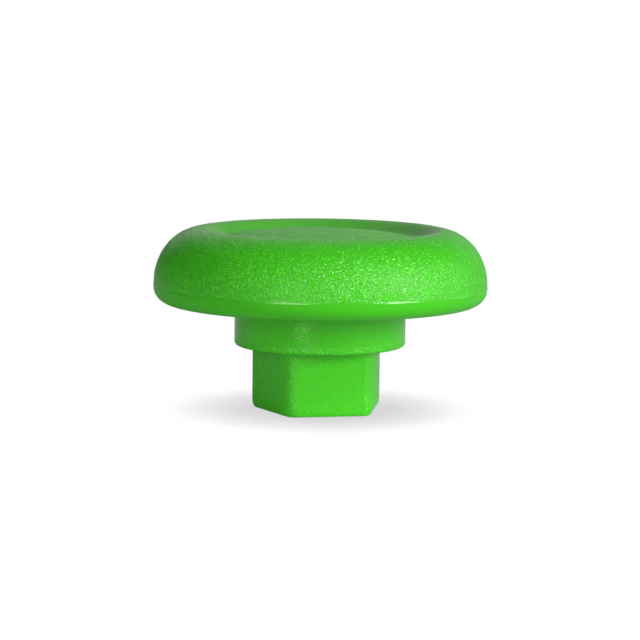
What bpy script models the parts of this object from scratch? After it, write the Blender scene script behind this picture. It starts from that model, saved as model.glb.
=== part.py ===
# Swap-in cap for a game controller's thumbstick, moulded in one piece.
# Metres, +Z up. The cap stands on its plug, with the origin under the plug's centre.

import math

import bmesh
import bpy

# Heights above the plug's flat end
DOME_TOP = 0.01005
CREST_TOP = 0.01008
PARTING_HEIGHT = 0.00689
UNDERSIDE_HEIGHT = 0.00595
SHOULDER_HEIGHT = 0.0036

# Head: a domed middle in a dished recess, inside a rolled rim
HEAD_RADIUS = 0.00925
CREST_RADIUS = 0.00665
DOME_CURVATURE = 0.031
GROOVE_RADIUS = 0.0054
RIM_DROP = 0.003
LOWER_ROLL_WIDTH = 0.00092
WITNESS_PROUD = 0.00003
WITNESS_HALF_HEIGHT = 0.00004

# Collar under the head
COLLAR_RADIUS = 0.00475
COLLAR_ROOT_FILLET = 0.00015
COLLAR_EDGE_ROUND = 0.0002

# Five-sided plug that keys into the stick below
PLUG_SIDES = 5
PLUG_CORNER_REACH = 0.00394
PLUG_CORNER_ROUND = 0.0007
LEAD_IN_WIDTH = 0.0002
LEAD_IN_HEIGHT = 0.0005
PLUG_ROOT_DEPTH = 0.0004

# How finely the round stretches are divided
TURN_STEPS = 96
DOME_STEPS = 6
WALL_STEPS = 8
RIM_STEPS = 12
ROLL_STEPS = 8
FILLET_STEPS = 3
CORNER_STEPS = 6
LEAD_IN_STEPS = 5

MERGE_DISTANCE = 0.000001
SHARP_ANGLE = math.radians(38)

# Moulded green plastic, as linear colour
PLASTIC_GREEN = (0.062, 0.546, 0.021, 1.0)
PLASTIC_ROUGHNESS = 0.42


def clear_scene():
    for old in list(bpy.data.objects):
        bpy.data.objects.remove(old, do_unlink=True)


def make_collection(name):
    collection = bpy.data.collections.new(name)
    bpy.context.scene.collection.children.link(collection)
    return collection


def moulded_plastic():
    material = bpy.data.materials.new("green_moulded_plastic")
    material.use_nodes = True
    shader = material.node_tree.nodes["Principled BSDF"]
    shader.inputs["Base Color"].default_value = PLASTIC_GREEN
    shader.inputs["Roughness"].default_value = PLASTIC_ROUGHNESS
    shader.inputs["Metallic"].default_value = 0.0
    return material


def ellipse_quarter(centre, width, height, start, end, steps):
    """Points on an ellipse about a (radius, height) centre, from one angle to another."""
    points = []
    for step in range(steps + 1):
        angle = start + (end - start) * step / steps
        radius = centre[0] + width * math.cos(angle)
        level = centre[1] + height * math.sin(angle)
        points.append((radius, level))
    return points


def dome_section():
    """The thumb's resting place: a shallow dome, from the axis out to the groove."""
    points = []
    for step in range(DOME_STEPS + 1):
        radius = GROOVE_RADIUS * step / DOME_STEPS
        sag = DOME_CURVATURE - math.sqrt(DOME_CURVATURE**2 - radius**2)
        points.append((radius, DOME_TOP - sag))
    return points


def recess_wall_section(groove_level):
    """The wall of the recess, easing out of the groove and over into the rim's crest."""
    points = []
    for step in range(1, WALL_STEPS):
        share = step / WALL_STEPS
        rise = share**3 * (share * (share * 6 - 15) + 10)
        radius = GROOVE_RADIUS + (CREST_RADIUS - GROOVE_RADIUS) * share
        points.append((radius, groove_level + (CREST_TOP - groove_level) * rise))
    return points


def rim_section():
    """The rolled rim, down to the mould's parting line with its fine witness."""
    rim_centre = (CREST_RADIUS, CREST_TOP - RIM_DROP)
    rim_width = HEAD_RADIUS - CREST_RADIUS
    points = ellipse_quarter(rim_centre, rim_width, RIM_DROP, math.pi / 2, 0, RIM_STEPS)
    points.append((HEAD_RADIUS, PARTING_HEIGHT + WITNESS_HALF_HEIGHT))
    points.append((HEAD_RADIUS + WITNESS_PROUD, PARTING_HEIGHT))
    return points


def lower_roll_section():
    """The smooth lower edge, from the parting line round to the flat underside."""
    start_level = PARTING_HEIGHT - WITNESS_HALF_HEIGHT
    centre = (HEAD_RADIUS - LOWER_ROLL_WIDTH, start_level)
    drop = start_level - UNDERSIDE_HEIGHT
    return ellipse_quarter(centre, LOWER_ROLL_WIDTH, drop, 0, -math.pi / 2, ROLL_STEPS)


def collar_section():
    """The collar: a root fillet under the head, a plain wall and a rounded lower edge."""
    root_centre = (COLLAR_RADIUS + COLLAR_ROOT_FILLET, UNDERSIDE_HEIGHT - COLLAR_ROOT_FILLET)
    root = ellipse_quarter(
        root_centre, COLLAR_ROOT_FILLET, COLLAR_ROOT_FILLET, math.pi / 2, math.pi, FILLET_STEPS
    )
    edge_centre = (COLLAR_RADIUS - COLLAR_EDGE_ROUND, SHOULDER_HEIGHT + COLLAR_EDGE_ROUND)
    edge = ellipse_quarter(
        edge_centre, COLLAR_EDGE_ROUND, COLLAR_EDGE_ROUND, 0, -math.pi / 2, FILLET_STEPS + 1
    )
    return root + edge + [(0.0, SHOULDER_HEIGHT)]


def head_and_collar(collection):
    """One turned profile, run down its outer side and revolved about Z."""
    dome = dome_section()
    groove_level = dome[-1][1]
    profile = dome + recess_wall_section(groove_level) + rim_section()
    profile += lower_roll_section() + collar_section()

    shape = bmesh.new()
    corners = [shape.verts.new((radius, 0.0, level)) for radius, level in profile]
    for upper, lower in zip(corners, corners[1:]):
        shape.edges.new((upper, lower))
    mesh = bpy.data.meshes.new("head_and_collar")
    shape.to_mesh(mesh)
    shape.free()

    turned = bpy.data.objects.new("head_and_collar", mesh)
    collection.objects.link(turned)
    screw = turned.modifiers.new("turn", "SCREW")
    screw.axis = "Z"
    screw.angle = 2 * math.pi
    screw.steps = TURN_STEPS
    screw.render_steps = TURN_STEPS
    screw.use_merge_vertices = True
    screw.merge_threshold = MERGE_DISTANCE
    return turned


def plug_outline(inset):
    """A five-sided outline with round corners, one flat facing -Y, drawn in by an inset."""
    corner_round = PLUG_CORNER_ROUND - inset
    half_turn = math.pi / PLUG_SIDES
    centre_reach = PLUG_CORNER_REACH - PLUG_CORNER_ROUND / math.cos(half_turn)
    points = []
    for side in range(PLUG_SIDES):
        corner_angle = -math.pi / 2 + half_turn + 2 * half_turn * side
        centre_x = centre_reach * math.cos(corner_angle)
        centre_y = centre_reach * math.sin(corner_angle)
        for step in range(CORNER_STEPS + 1):
            angle = corner_angle - half_turn + 2 * half_turn * step / CORNER_STEPS
            x = centre_x + corner_round * math.cos(angle)
            y = centre_y + corner_round * math.sin(angle)
            points.append((x, y))
    return points


def plug_levels():
    """Inset and height of each outline, from the flat end up into the collar."""
    levels = []
    for step in range(LEAD_IN_STEPS + 1):
        angle = math.pi / 2 * step / LEAD_IN_STEPS
        inset = LEAD_IN_WIDTH * (1 - math.sin(angle))
        height = LEAD_IN_HEIGHT * (1 - math.cos(angle))
        levels.append((inset, height))
    levels.append((0.0, SHOULDER_HEIGHT + PLUG_ROOT_DEPTH))
    return levels


def plug(collection):
    """The plug's outlines, bridged from its rounded lead-in up to its root in the collar."""
    shape = bmesh.new()
    loops = []
    for inset, height in plug_levels():
        corners = [shape.verts.new((x, y, height)) for x, y in plug_outline(inset)]
        count = len(corners)
        edges = [shape.edges.new((corners[i], corners[(i + 1) % count])) for i in range(count)]
        loops.append((corners, edges))
    for lower, upper in zip(loops, loops[1:]):
        bmesh.ops.bridge_loops(shape, edges=lower[1] + upper[1])
    for corners in (loops[0][0], loops[-1][0]):
        shape.faces.new(corners)
    bmesh.ops.recalc_face_normals(shape, faces=shape.faces)
    mesh = bpy.data.meshes.new("plug")
    shape.to_mesh(mesh)
    shape.free()

    joined = bpy.data.objects.new("plug", mesh)
    collection.objects.link(joined)
    joined.hide_render = True
    joined.display_type = "WIRE"
    return joined


def thumbstick_cap(parts, joiners):
    """Head, collar and plug joined into the one moulded piece."""
    turned = head_and_collar(joiners)
    union = turned.modifiers.new("plug", "BOOLEAN")
    union.operation = "UNION"
    union.solver = "EXACT"
    union.object = plug(joiners)

    bpy.context.view_layer.update()
    graph = bpy.context.evaluated_depsgraph_get()
    mesh = bpy.data.meshes.new_from_object(turned.evaluated_get(graph))
    mesh.name = "thumbstick_cap"
    mesh.materials.clear()
    mesh.materials.append(moulded_plastic())
    mesh.shade_smooth()
    mesh.set_sharp_from_angle(angle=SHARP_ANGLE)
    turned.hide_render = True
    turned.display_type = "WIRE"

    cap = bpy.data.objects.new("thumbstick_cap", mesh)
    parts.objects.link(cap)
    return cap


clear_scene()
thumbstick_cap(make_collection("thumbstick"), make_collection("joiners"))
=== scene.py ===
import math

import bmesh
import bpy
from mathutils import Matrix, Vector, noise


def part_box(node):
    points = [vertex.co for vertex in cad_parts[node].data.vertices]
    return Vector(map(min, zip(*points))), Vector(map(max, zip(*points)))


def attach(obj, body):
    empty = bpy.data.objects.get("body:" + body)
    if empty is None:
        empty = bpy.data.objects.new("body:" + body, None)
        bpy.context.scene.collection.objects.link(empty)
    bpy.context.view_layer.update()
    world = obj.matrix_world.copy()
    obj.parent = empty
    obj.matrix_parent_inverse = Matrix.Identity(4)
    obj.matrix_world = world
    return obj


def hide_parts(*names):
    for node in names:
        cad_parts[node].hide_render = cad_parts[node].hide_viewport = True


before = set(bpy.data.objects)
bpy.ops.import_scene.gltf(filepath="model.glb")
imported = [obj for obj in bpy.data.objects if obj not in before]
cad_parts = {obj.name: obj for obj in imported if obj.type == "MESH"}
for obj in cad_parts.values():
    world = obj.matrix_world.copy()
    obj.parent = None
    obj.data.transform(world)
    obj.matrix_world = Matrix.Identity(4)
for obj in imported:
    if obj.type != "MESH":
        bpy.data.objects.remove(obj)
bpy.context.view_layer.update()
mm = 0.001
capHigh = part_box("thumbstick_cap")[1]
print("frame loaded")


# The cap in millimetres, on a section at the right of the axis
capForm = {
    "top": capHigh.z / mm,
    "headRadius": capHigh.x / mm - 0.03,  # the solid's witness line stands that far out of its head
    "crestRadius": 6.65,
    "domeTop": 10.05,
    "domeCurve": 31.0,
    "grooveRadius": 5.4,
    "wallSlope": math.radians(33),
    "crestBend": 2.5,  # against the groove's bend
    "rimDrop": 3.0,
    "partingHeight": 6.89,
    "witnessProud": 0.014,
    "witnessHalf": 0.04,
    "underside": 5.95,
    "lowerRoll": 0.92,
    "collarRadius": 4.75,
    "collarFillet": 0.15,
    "collarEdge": 0.2,
    "shoulder": 3.6,
    "plugSides": 5,
    "plugReach": 3.94,
    "plugRound": 0.7,
    "plugRootFillet": 0.1,
    "leadInWidth": 0.2,
    "leadInHeight": 0.5,
    "flange": 1.09,  # of the plug's own width
    "mergeWithin": 0.0002,
    "finishOverlap": 0.1,  # of the dome's and the recess wall's finishes, past their own edges
    # how finely each stretch is cut: enough for the grain on the rim and the dome, fewer elsewhere
    "cuts": {
        "slices": 16, "sliceSteps": 40,
        "dome": 44, "groove": 6, "wall": 3, "crest": 8, "rim": 48, "overLine": 2,
        "roll": 12, "underside": 2, "collarRoot": 4, "collar": 9, "collarEdge": 5,
        "plugCorner": 10, "plugRoot": 4, "leadIn": 7,
    },
    # where the grain lies: a pair is the place where it starts or ends and the width of its fade, and
    # a share is the part of its finish's relief
    "grain": {
        "domeEnds": (5.6, 0.25),
        "rimStarts": (6.7, 0.35),
        "overLineStarts": (0.03, 0.12),
        "underLineStarts": 0.2,
        "rollShare": 0.5,
        "collarShare": 0.2,
        "edgeBand": (0.42, 0.15),  # above the collar's lower edge
        # a patch of painted highlight on the collar, where the front lamp's highlight falls: its
        # ridges are painted lighter and its relief is stronger
        "paintedHighlight": {"centre": (-1.89, -4.36, 4.85), "reach": 0.62, "share": 1.6},
        "rimDepth": 0.026,
        "domeDepth": 0.035,
        "middle": 0.5,  # of the depth, which the waves go over and under
        "waves": ((3.1, 0.5), (6.3, 0.35)),  # each one's count to the millimetre and part of the depth
    },
}


# Carries the section on round a centre, then stretches the new run about that centre
def swing(shape, last, centre, turn, steps, stretch=(1, 1)):
    hub = Vector((centre[0], 0, centre[1]))
    seen = len(shape.verts)
    made = bmesh.ops.spin(shape, geom=[last], cent=hub, axis=(0, 1, 0), angle=turn, steps=steps)
    shape.verts.ensure_lookup_table()
    bmesh.ops.scale(
        shape,
        vec=(stretch[0], 1, stretch[1]),
        space=Matrix.Translation(-hub),
        verts=shape.verts[seen:],
    )
    return [v for v in made["geom_last"] if isinstance(v, bmesh.types.BMVert)][0]


# Carries the section on in a straight run
def reachTo(shape, last, radius, height, pieces=1):
    step = (Vector((radius, 0, height)) - last.co) / pieces
    unturned = {"cent": last.co, "axis": (0, 1, 0), "angle": 0}
    made = bmesh.ops.spin(shape, geom=[last], dvec=step, steps=pieces, **unturned)
    return [v for v in made["geom_last"] if isinstance(v, bmesh.types.BMVert)][0]


def drawDish(shape, form):
    cuts = form["cuts"]
    tip = shape.verts.new((0, 0, form["domeTop"]))
    tilt = math.asin(form["grooveRadius"] / form["domeCurve"])
    tip = swing(shape, tip, (0, form["domeTop"] - form["domeCurve"]), tilt, cuts["dome"])

    # the groove's bend, the straight run and the wider crest's bend fill the wall's run and rise
    slope = form["wallSlope"]
    run = form["crestRadius"] - tip.co.x
    rise = form["top"] - tip.co.z
    wider = form["crestBend"]
    acrossBends = math.sin(tilt) + (1 + wider) * math.sin(slope)
    upBends = math.cos(tilt) + wider - (1 + wider) * math.cos(slope)
    parts = Matrix(((acrossBends, math.cos(slope)), (upBends, math.sin(slope)))).inverted()
    bend, straight = parts @ Vector((run, rise))
    grooveHub = (tip.co.x + bend * math.sin(tilt), tip.co.z + bend * math.cos(tilt))
    tip = swing(shape, tip, grooveHub, -(tilt + slope), cuts["groove"])
    crestFoot = (tip.co.x + straight * math.cos(slope), tip.co.z + straight * math.sin(slope))
    tip = reachTo(shape, tip, *crestFoot, cuts["wall"])
    crestHub = (form["crestRadius"], form["top"] - bend * wider)
    return swing(shape, tip, crestHub, slope, cuts["crest"])


def drawRim(shape, tip, form):
    cuts = form["cuts"]
    headRadius = form["headRadius"]
    rimWidth = headRadius - form["crestRadius"]
    hub = (form["crestRadius"], form["top"] - form["rimDrop"])
    tip = swing(shape, tip, hub, math.pi / 2, cuts["rim"], (rimWidth / form["rimDrop"], 1))
    parting, half = form["partingHeight"], form["witnessHalf"]
    tip = reachTo(shape, tip, headRadius, parting + half, cuts["overLine"])
    tip = reachTo(shape, tip, headRadius + form["witnessProud"], parting)
    return reachTo(shape, tip, headRadius, parting - half)


def drawUnderside(shape, tip, form):
    cuts = form["cuts"]
    roll = form["lowerRoll"]
    hub = (tip.co.x - roll, tip.co.z)
    drop = tip.co.z - form["underside"]
    tip = swing(shape, tip, hub, math.pi / 2, cuts["roll"], (1, drop / roll))
    fillet = form["collarFillet"]
    collar = form["collarRadius"]
    tip = reachTo(shape, tip, collar + fillet, form["underside"], cuts["underside"])
    filletHub = (collar + fillet, form["underside"] - fillet)
    tip = swing(shape, tip, filletHub, -math.pi / 2, cuts["collarRoot"])
    edge = form["collarEdge"]
    tip = reachTo(shape, tip, collar, form["shoulder"] + edge, cuts["collar"])
    swing(shape, tip, (collar - edge, form["shoulder"] + edge), math.pi / 2, cuts["collarEdge"])


def openEdges(shape):
    return [e for e in shape.edges if len(e.link_faces) == 1]


def turnHead(shape, form):
    tip = drawDish(shape, form)
    tip = drawRim(shape, tip, form)
    drawUnderside(shape, tip, form)
    # one slice of the turn is spun, and then copied on round the axis
    cuts = form["cuts"]
    sliceAngle = 2 * math.pi / cuts["slices"]
    turn = {"cent": (0, 0, 0), "axis": (0, 0, 1)}
    section = shape.verts[:] + shape.edges[:]
    bmesh.ops.spin(shape, geom=section, angle=sliceAngle, steps=cuts["sliceSteps"], **turn)
    whole = shape.verts[:] + shape.edges[:] + shape.faces[:]
    rest = cuts["slices"] - 1
    bmesh.ops.spin(shape, geom=whole, angle=sliceAngle * rest, steps=rest, use_duplicate=True, **turn)
    bmesh.ops.remove_doubles(shape, verts=shape.verts, dist=form["mergeWithin"])


def vertsOf(made):
    return [part for part in made["geom"] if isinstance(part, bmesh.types.BMVert)]


# The edges among those just made that close a loop, and not the ones that lead to it
def farLoop(made):
    far = set(vertsOf(made))
    edges = [part for part in made["geom"] if isinstance(part, bmesh.types.BMEdge)]
    return [e for e in edges if far.issuperset(e.verts)]


# Five flats, one of them facing the front, with rounded edges; the plug is still open at its root
def drawPlug(shape, form):
    sides = form["plugSides"]
    made = bmesh.ops.create_circle(shape, cap_ends=True, segments=sides, radius=form["plugReach"])
    bmesh.ops.translate(shape, vec=(0, 0, form["leadInHeight"]), verts=made["verts"])
    end = made["verts"][0].link_faces[0]
    made = bmesh.ops.extrude_edge_only(shape, edges=end.edges[:])
    rise = form["shoulder"] - form["leadInHeight"]
    bmesh.ops.translate(shape, vec=(0, 0, rise), verts=vertsOf(made))
    upright = [e for f in made["geom"] if isinstance(f, bmesh.types.BMFace) for e in f.edges]
    upright = {e for e in upright if abs(e.verts[0].co.z - e.verts[1].co.z) > rise / 2}
    rounded = bmesh.ops.bevel(
        shape,
        geom=list(upright),
        affect="EDGES",
        offset=form["plugRound"] * math.tan(math.pi / sides),
        segments=form["cuts"]["plugCorner"],
        profile=0.5,
        material=-1,
    )
    walls = {f for v in rounded["verts"] for f in v.link_faces}
    end = max(walls, key=lambda face: len(face.verts))
    rootLoop = {e for f in walls if f is not end for e in f.edges if len(e.link_faces) == 1}
    return end, list(rootLoop)


def growPlug(shape, form):
    collarLoop = openEdges(shape)
    end, rootLoop = drawPlug(shape, form)

    # a narrow flange round the root carries its fillet, and meets the collar
    made = bmesh.ops.extrude_edge_only(shape, edges=rootLoop)
    bmesh.ops.scale(shape, vec=(form["flange"], form["flange"], 1), verts=vertsOf(made))
    shoulder = collarLoop + farLoop(made)
    bmesh.ops.triangle_fill(shape, edges=shoulder, use_beauty=True, normal=(0, 0, -1))
    bmesh.ops.recalc_face_normals(shape, faces=shape.faces)

    # the end face goes down and in by turns, along a quarter of an ellipse
    steps = form["cuts"]["leadIn"]
    for step in range(steps):
        near, far = (math.pi / 2 * (step + k) / steps for k in (0, 1))
        bmesh.ops.inset_region(
            shape,
            faces=[end],
            thickness=form["leadInWidth"] * (math.cos(near) - math.cos(far)),
            depth=form["leadInHeight"] * (math.sin(far) - math.sin(near)),
            use_even_offset=True,
        )
    bmesh.ops.bevel(
        shape,
        geom=rootLoop,
        affect="EDGES",
        offset=form["plugRootFillet"],
        segments=form["cuts"]["plugRoot"],
        profile=0.5,
        material=-1,
    )


def clamp(value):
    return min(max(value, 0.0), 1.0)


# Whole on the dome, the rim and the plug, none on the recess wall and the witness line, and little on
# the collar but in a patch of painted highlight and along its lower edge
def grainShare(point, form):
    grain = form["grain"]
    radius, height = math.hypot(point.x, point.y), point.z
    line = form["partingHeight"] + form["witnessHalf"]
    if height > line:
        start, fade = grain["rimStarts"]
        rim = clamp((radius - start) / fade)
        start, fade = grain["overLineStarts"]
        rim = min(rim, clamp((height - line - start) / fade))
        end, fade = grain["domeEnds"]
        return max(rim, clamp((end - radius) / fade))
    if height > form["underside"]:
        return grain["rollShare"] if height < line - grain["underLineStarts"] else 0.0
    if radius < form["collarRadius"] - form["collarEdge"]:
        return 1.0
    # the patch of painted highlight: there the share paints the ridges lighter and deepens the relief
    paintedHighlight = grain["paintedHighlight"]
    across = (Vector(paintedHighlight["centre"]) - point) / paintedHighlight["reach"]
    highlighted = clamp(paintedHighlight["share"] * (1 - across.length))
    band, fade = grain["edgeBand"]
    edge = clamp((form["shoulder"] + band - height) / fade)
    return max(highlighted, edge, grain["collarShare"])


def rough(shape, form):
    grain = form["grain"]
    share = shape.verts.layers.float.new("grainShare")
    shape.normal_update()
    for v in shape.verts:
        v[share] = grainShare(v.co, form)
        if v[share] > 0 and v.co.z > form["partingHeight"]:
            onDome = math.hypot(v.co.x, v.co.y) < form["grooveRadius"]
            depth = grain["domeDepth"] if onDome else grain["rimDepth"]
            lift = sum(noise.noise(v.co * count) * part for count, part in grain["waves"])
            v.co -= v.normal * depth * v[share] * (grain["middle"] + lift)


# One green plastic in six finishes. Sizes are in millimetres; grain counts ridges to the millimetre.
# The glossy skin on each finish has a finer relief of its own, which scatters the lamps' glints.
# Each finish's lift paints the ridges of its grain lighter than the pits between them: painted light
# and shade over the relief, on top of the shading that the bump gives.
plastic = {
    "colour": (0.058, 0.585, 0.01),
    # warm grey of the painted sheen on the recess wall and, faintly, the dome; it also dims their
    # green as painted shade
    "paintedSheenColour": (0.22, 0.2, 0.18),
    "sheenTint": (1, 0.94, 0.74, 1),
    "skinIndex": 1.9,
    "finishes": {
        "sparkedGrain": {
            "sheen": 0.25, "roughness": 0.38, "paintedSheen": 0,
            "relief": {"grain": 6.2, "ridge": 0.12, "height": 0.02, "lift": 0.32},
            "skin": {"weight": 0.3, "roughness": 0.09, "grain": 8.5, "height": 0.09},
        },
        "grainedDome": {
            "sheen": 0.25, "roughness": 0.5, "paintedSheen": 0.01,
            "relief": {"grain": 5.5, "ridge": 0.14, "height": 0.03, "lift": 0.5},
            "skin": {"weight": 0.38, "roughness": 0.2, "grain": 5, "height": 0.14},
        },
        "recessWall": {
            "sheen": 0.25, "roughness": 0.4, "paintedSheen": 0.22,
            "relief": {"grain": 3.4, "ridge": 0.07, "height": 0.002, "lift": 0.03},
            "skin": {"weight": 0.15, "roughness": 0.3, "grain": 6, "height": 0.01},
        },
        "satinEdge": {
            "sheen": 0.25, "roughness": 0.42, "paintedSheen": 0,
            "relief": {"grain": 3.4, "ridge": 0.07, "height": 0.002, "lift": 0.03},
            "skin": {"weight": 0.08, "roughness": 0.3, "grain": 6, "height": 0.01},
        },
        "polishedCollar": {
            "sheen": 0.55, "roughness": 0.17, "paintedSheen": 0,
            "relief": {"grain": 7, "ridge": 0.2, "height": 0.012, "lift": 0.3},
            "skin": {"weight": 0.06, "roughness": 0.1, "grain": 9, "height": 0.03},
        },
        "plugSkin": {
            "sheen": 0.25, "roughness": 0.4, "paintedSheen": 0,
            "relief": {"grain": 6, "ridge": 0.12, "height": 0.005, "lift": 0.07},
            "skin": {"weight": 0.3, "roughness": 0.11, "grain": 8.5, "height": 0.045},
        },
    },
}
noiseMiddle = 0.5


def addNode(tree, kind, **sockets):
    node = tree.nodes.new("ShaderNode" + kind)
    for name, value in sockets.items():
        node.inputs[name].default_value = value
    return node


def addMath(tree, operation, first, second=None):
    node = tree.nodes.new("ShaderNodeMath")
    node.operation = operation
    for socket, value in zip(node.inputs, (first, second)):
        if isinstance(value, (int, float)):
            socket.default_value = value
        elif value is not None:
            tree.links.new(value, socket)
    return node.outputs[0]


# Winding ridges, as spark erosion leaves them: the places where a soft noise passes its middle
def windingRidges(tree, place, relief):
    soft = addNode(tree, "TexNoise", Scale=relief["grain"], Detail=0)
    tree.links.new(place, soft.inputs["Vector"])
    offMiddle = addMath(tree, "SUBTRACT", soft.outputs["Fac"], noiseMiddle)
    shaped = tree.nodes.new("ShaderNodeMapRange")
    shaped.interpolation_type = "SMOOTHSTEP"
    spread = {"From Min": 0, "From Max": relief["ridge"], "To Min": 1, "To Max": 0}
    for name, value in spread.items():
        shaped.inputs[name].default_value = value
    tree.links.new(addMath(tree, "ABSOLUTE", offMiddle), shaped.inputs["Value"])
    return shaped.outputs["Result"]


def addSkin(tree, place, share, skin):
    shader = tree.nodes["Principled BSDF"]
    shader.inputs["Coat Weight"].default_value = skin["weight"]
    shader.inputs["Coat Roughness"].default_value = skin["roughness"]
    shader.inputs["Coat IOR"].default_value = plastic["skinIndex"]
    fine = addNode(tree, "TexNoise", Scale=skin["grain"], Detail=0)
    tree.links.new(place, fine.inputs["Vector"])
    offMiddle = addMath(tree, "SUBTRACT", fine.outputs["Fac"], noiseMiddle)
    height = addMath(tree, "MULTIPLY", offMiddle, share)
    bump = addNode(tree, "Bump", Strength=1.0, Distance=skin["height"] * mm)
    tree.links.new(height, bump.inputs["Height"])
    tree.links.new(bump.outputs["Normal"], shader.inputs["Coat Normal"])


def mouldedPlastic(name):
    finish = plastic["finishes"][name]
    relief = finish["relief"]
    material = bpy.data.materials.new(name)
    material.use_nodes = True
    tree = material.node_tree
    link = tree.links.new
    shader = tree.nodes["Principled BSDF"]
    shader.inputs["Roughness"].default_value = finish["roughness"]
    shader.inputs["Specular IOR Level"].default_value = finish["sheen"]
    shader.inputs["Specular Tint"].default_value = plastic["sheenTint"]
    coords = addNode(tree, "TexCoord")
    inMillimetres = addNode(tree, "Mapping", Scale=(1 / mm, 1 / mm, 1 / mm))
    link(coords.outputs["Object"], inMillimetres.inputs["Vector"])
    place = inMillimetres.outputs["Vector"]
    share = addNode(tree, "Attribute")
    share.attribute_name = "grainShare"
    ridges = addMath(tree, "MULTIPLY", windingRidges(tree, place, relief), share.outputs["Fac"])
    # painted light and shade: the grain's ridges are painted lighter than its pits, by the finish's
    # lift times the grain share
    paintedRidgeLight = tree.nodes.new("ShaderNodeMix")
    paintedRidgeLight.data_type = "RGBA"
    low, high = [socket for socket in paintedRidgeLight.inputs if socket.type == "RGBA"]
    # the warm grey mixed into the body colour is a painted sheen, which also dims the green as painted
    # shade
    paintedSheen = finish["paintedSheen"]
    tints = zip(plastic["colour"], plastic["paintedSheenColour"])
    body = [own * (1 - paintedSheen) + pale * paintedSheen for own, pale in tints]
    low.default_value = body + [1]
    high.default_value = [channel * (1 + relief["lift"]) for channel in body] + [1]
    link(ridges, paintedRidgeLight.inputs["Factor"])
    link([socket for socket in paintedRidgeLight.outputs if socket.type == "RGBA"][0], shader.inputs["Base Color"])
    bump = addNode(tree, "Bump", Strength=1.0, Distance=relief["height"] * mm)
    link(ridges, bump.inputs["Height"])
    link(bump.outputs["Normal"], shader.inputs["Normal"])
    addSkin(tree, place, share.outputs["Fac"], finish["skin"])
    return material


def finishOf(face, form):
    centre = face.calc_center_median()
    radius = math.hypot(centre.x, centre.y)
    if centre.z <= form["shoulder"] and radius < form["collarRadius"] - form["collarEdge"]:
        return "plugSkin"
    if centre.z < form["shoulder"] + form["grain"]["edgeBand"][0]:
        return "sparkedGrain"
    if centre.z < form["underside"] and radius < form["collarRadius"] + form["collarFillet"]:
        return "polishedCollar"
    if 0 < centre.z - form["partingHeight"] < form["witnessHalf"]:
        return "polishedCollar"
    if centre.z < form["partingHeight"]:
        return "satinEdge"
    if radius < form["grooveRadius"] + form["finishOverlap"]:
        return "grainedDome"
    return "recessWall" if radius < form["crestRadius"] + form["finishOverlap"] else "sparkedGrain"


def makeCap(form):
    shape = bmesh.new()
    turnHead(shape, form)
    growPlug(shape, form)
    bmesh.ops.recalc_face_normals(shape, faces=shape.faces)
    rough(shape, form)
    finishNames = list(plastic["finishes"])
    for face in shape.faces:
        face.material_index = finishNames.index(finishOf(face, form))
    bmesh.ops.scale(shape, vec=(mm, mm, mm), verts=shape.verts)
    shape.normal_update()
    print("cap:", len(shape.verts), "points, open edges", len(openEdges(shape)))
    print("cap volume:", shape.calc_volume())
    mesh = bpy.data.meshes.new("mouldedCap")
    shape.to_mesh(mesh)
    shape.free()
    mesh.shade_smooth()
    for name in finishNames:
        mesh.materials.append(mouldedPlastic(name))
    cap = bpy.data.objects.new("mouldedCap", mesh)
    bpy.context.scene.collection.objects.link(cap)
    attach(cap, "root")
    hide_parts("thumbstick_cap")


makeCap(capForm)
print("cap made")


# The studio: sizes and places in metres
studio = {
    "floorReach": 0.8,
    "floorSides": 64,
    "floorColour": (0.8, 0.8, 0.8, 1),
    "shadowReach": 0.0066,
    "shadowFrom": (0.457, 0.796),  # openness at the shadow's darkest and at its end
    "shadowLevel": 0.68,
    "shadowSamples": 16,
    "skyLevel": 0.04,
    "lampAim": 0.005,
}


def makeFloor(look):
    shape = bmesh.new()
    disc = {"segments": look["floorSides"], "radius": look["floorReach"]}
    bmesh.ops.create_circle(shape, cap_ends=True, **disc)
    mesh = bpy.data.meshes.new("floor")
    shape.to_mesh(mesh)
    shape.free()
    floor = bpy.data.objects.new("floor", mesh)
    bpy.context.scene.collection.objects.link(floor)

    material = bpy.data.materials.new("paleFloor")
    material.use_nodes = True
    tree = material.node_tree
    link = tree.links.new
    shader = tree.nodes["Principled BSDF"]
    shader.inputs["Base Color"].default_value = look["floorColour"]
    shader.inputs["Roughness"].default_value = 1
    shader.inputs["Specular IOR Level"].default_value = 0
    # the camera sees it white, but for the soft shadow that the cap keeps off the light under it
    openness = addNode(tree, "AmbientOcclusion", Distance=look["shadowReach"])
    openness.samples = look["shadowSamples"]
    shade = tree.nodes.new("ShaderNodeMapRange")
    shade.interpolation_type = "SMOOTHSTEP"
    dark, clear = look["shadowFrom"]
    spread = {"From Min": dark, "From Max": clear, "To Min": look["shadowLevel"], "To Max": 1}
    for name, value in spread.items():
        shade.inputs[name].default_value = value
    link(openness.outputs["AO"], shade.inputs["Value"])
    seen = tree.nodes.new("ShaderNodeEmission")
    link(shade.outputs["Result"], seen.inputs["Strength"])
    path = tree.nodes.new("ShaderNodeLightPath")
    mix = tree.nodes.new("ShaderNodeMixShader")
    link(path.outputs["Is Camera Ray"], mix.inputs["Fac"])
    link(shader.outputs[0], mix.inputs[1])
    link(seen.outputs[0], mix.inputs[2])
    link(mix.outputs[0], tree.nodes["Material Output"].inputs["Surface"])
    mesh.materials.append(material)


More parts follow.
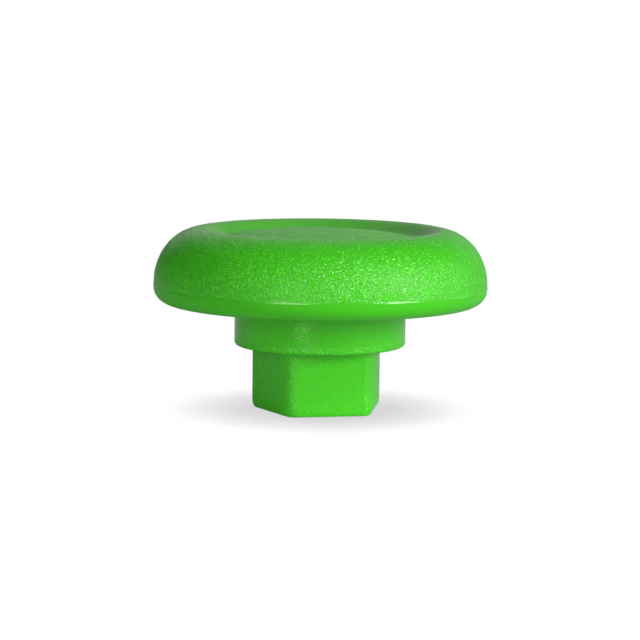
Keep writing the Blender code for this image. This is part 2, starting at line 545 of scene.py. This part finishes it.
def makeWorld(look):
    world = bpy.data.worlds.new("softStudio")
    bpy.context.scene.world = world
    world.use_nodes = True
    tree = world.node_tree
    link = tree.links.new
    fill = tree.nodes["Background"]
    fill.inputs["Color"].default_value = (1, 1, 1, 1)
    fill.inputs["Strength"].default_value = look["skyLevel"]
    white = tree.nodes.new("ShaderNodeBackground")
    white.inputs["Color"].default_value = (1, 1, 1, 1)
    white.inputs["Strength"].default_value = 1
    path = tree.nodes.new("ShaderNodeLightPath")
    mix = tree.nodes.new("ShaderNodeMixShader")
    link(path.outputs["Is Camera Ray"], mix.inputs["Fac"])
    link(fill.outputs[0], mix.inputs[1])
    link(white.outputs[0], mix.inputs[2])
    link(mix.outputs[0], tree.nodes["World Output"].inputs["Surface"])


# Each lamp: turn round from the front and rise above the table, in degrees; distance, width and height
# in metres; and its level, which is 1 where a surface that faces it looks as bright as its colour
lamps = {
    "key": {"turn": 47, "rise": 16, "distance": 0.5, "size": (0.2, 0.18), "level": 0.7},
    "upperRight": {"turn": 40, "rise": 40, "distance": 0.5, "size": (0.12, 0.1), "level": 0.225},
    "front": {"turn": -31, "rise": 11, "distance": 0.5, "size": (0.22, 0.3), "level": 0.405},
    "rightRear": {"turn": 96, "rise": 12, "distance": 0.5, "size": (0.25, 0.2), "level": 0.1},
    "rear": {"turn": 164, "rise": 13, "distance": 0.5, "size": (0.5, 0.18), "level": 0.06},
    "backFill": {"turn": 176, "rise": 42, "distance": 0.5, "size": (0.3, 0.3), "level": 0.06},
}


# From the cap towards a lamp or the camera
def directionTo(turn, rise):
    turn, rise = math.radians(turn), math.radians(rise)
    return Vector((math.sin(turn) * math.cos(rise), -math.cos(turn) * math.cos(rise), math.sin(rise)))


def addLamp(name, lamp):
    light = bpy.data.lights.new(name, "AREA")
    light.shape = "RECTANGLE"
    light.size, light.size_y = lamp["size"]
    light.energy = lamp["level"] * (math.pi * lamp["distance"]) ** 2
    back = directionTo(lamp["turn"], lamp["rise"])
    stand = bpy.data.objects.new(name, light)
    stand.location = Vector((0, 0, studio["lampAim"])) + back * lamp["distance"]
    stand.rotation_euler = back.to_track_quat("Z", "Y").to_euler()
    bpy.context.scene.collection.objects.link(stand)


makeFloor(studio)
makeWorld(studio)
for name, lamp in lamps.items():
    addLamp(name, lamp)
print("studio lit")


# Where the photographer stands, as the outline of the cap gives it: metres and degrees, and the lens
# and the sensor in millimetres
cameraStand = {
    "distance": 0.13706,  # from the middle of the rim's top
    "turn": -11,
    "rise": 4.98,
    "aimHeight": 0.00497,
    "roll": 0.64,
    "lens": 139.2,
    "sensor": 36,
    "clip": (0.01, 10),
}


def placeCamera(stand):
    camera = bpy.data.objects.new("camera", bpy.data.cameras.new("camera"))
    bpy.context.scene.collection.objects.link(camera)
    camera.data.sensor_width = stand["sensor"]
    camera.data.lens = stand["lens"]
    camera.data.clip_start, camera.data.clip_end = stand["clip"]
    back = directionTo(stand["turn"], stand["rise"])
    camera.location = Vector((0, 0, capHigh.z)) + back * stand["distance"]
    look = Vector((0, 0, stand["aimHeight"])) - camera.location
    roll = Matrix.Rotation(math.radians(stand["roll"]), 3, "Z")
    aim = look.to_track_quat("-Z", "Y").to_matrix() @ roll
    camera.rotation_euler = aim.to_euler()
    bpy.context.scene.camera = camera


placeCamera(cameraStand)
bpy.context.scene.view_settings.view_transform = "Standard"
print("camera placed")
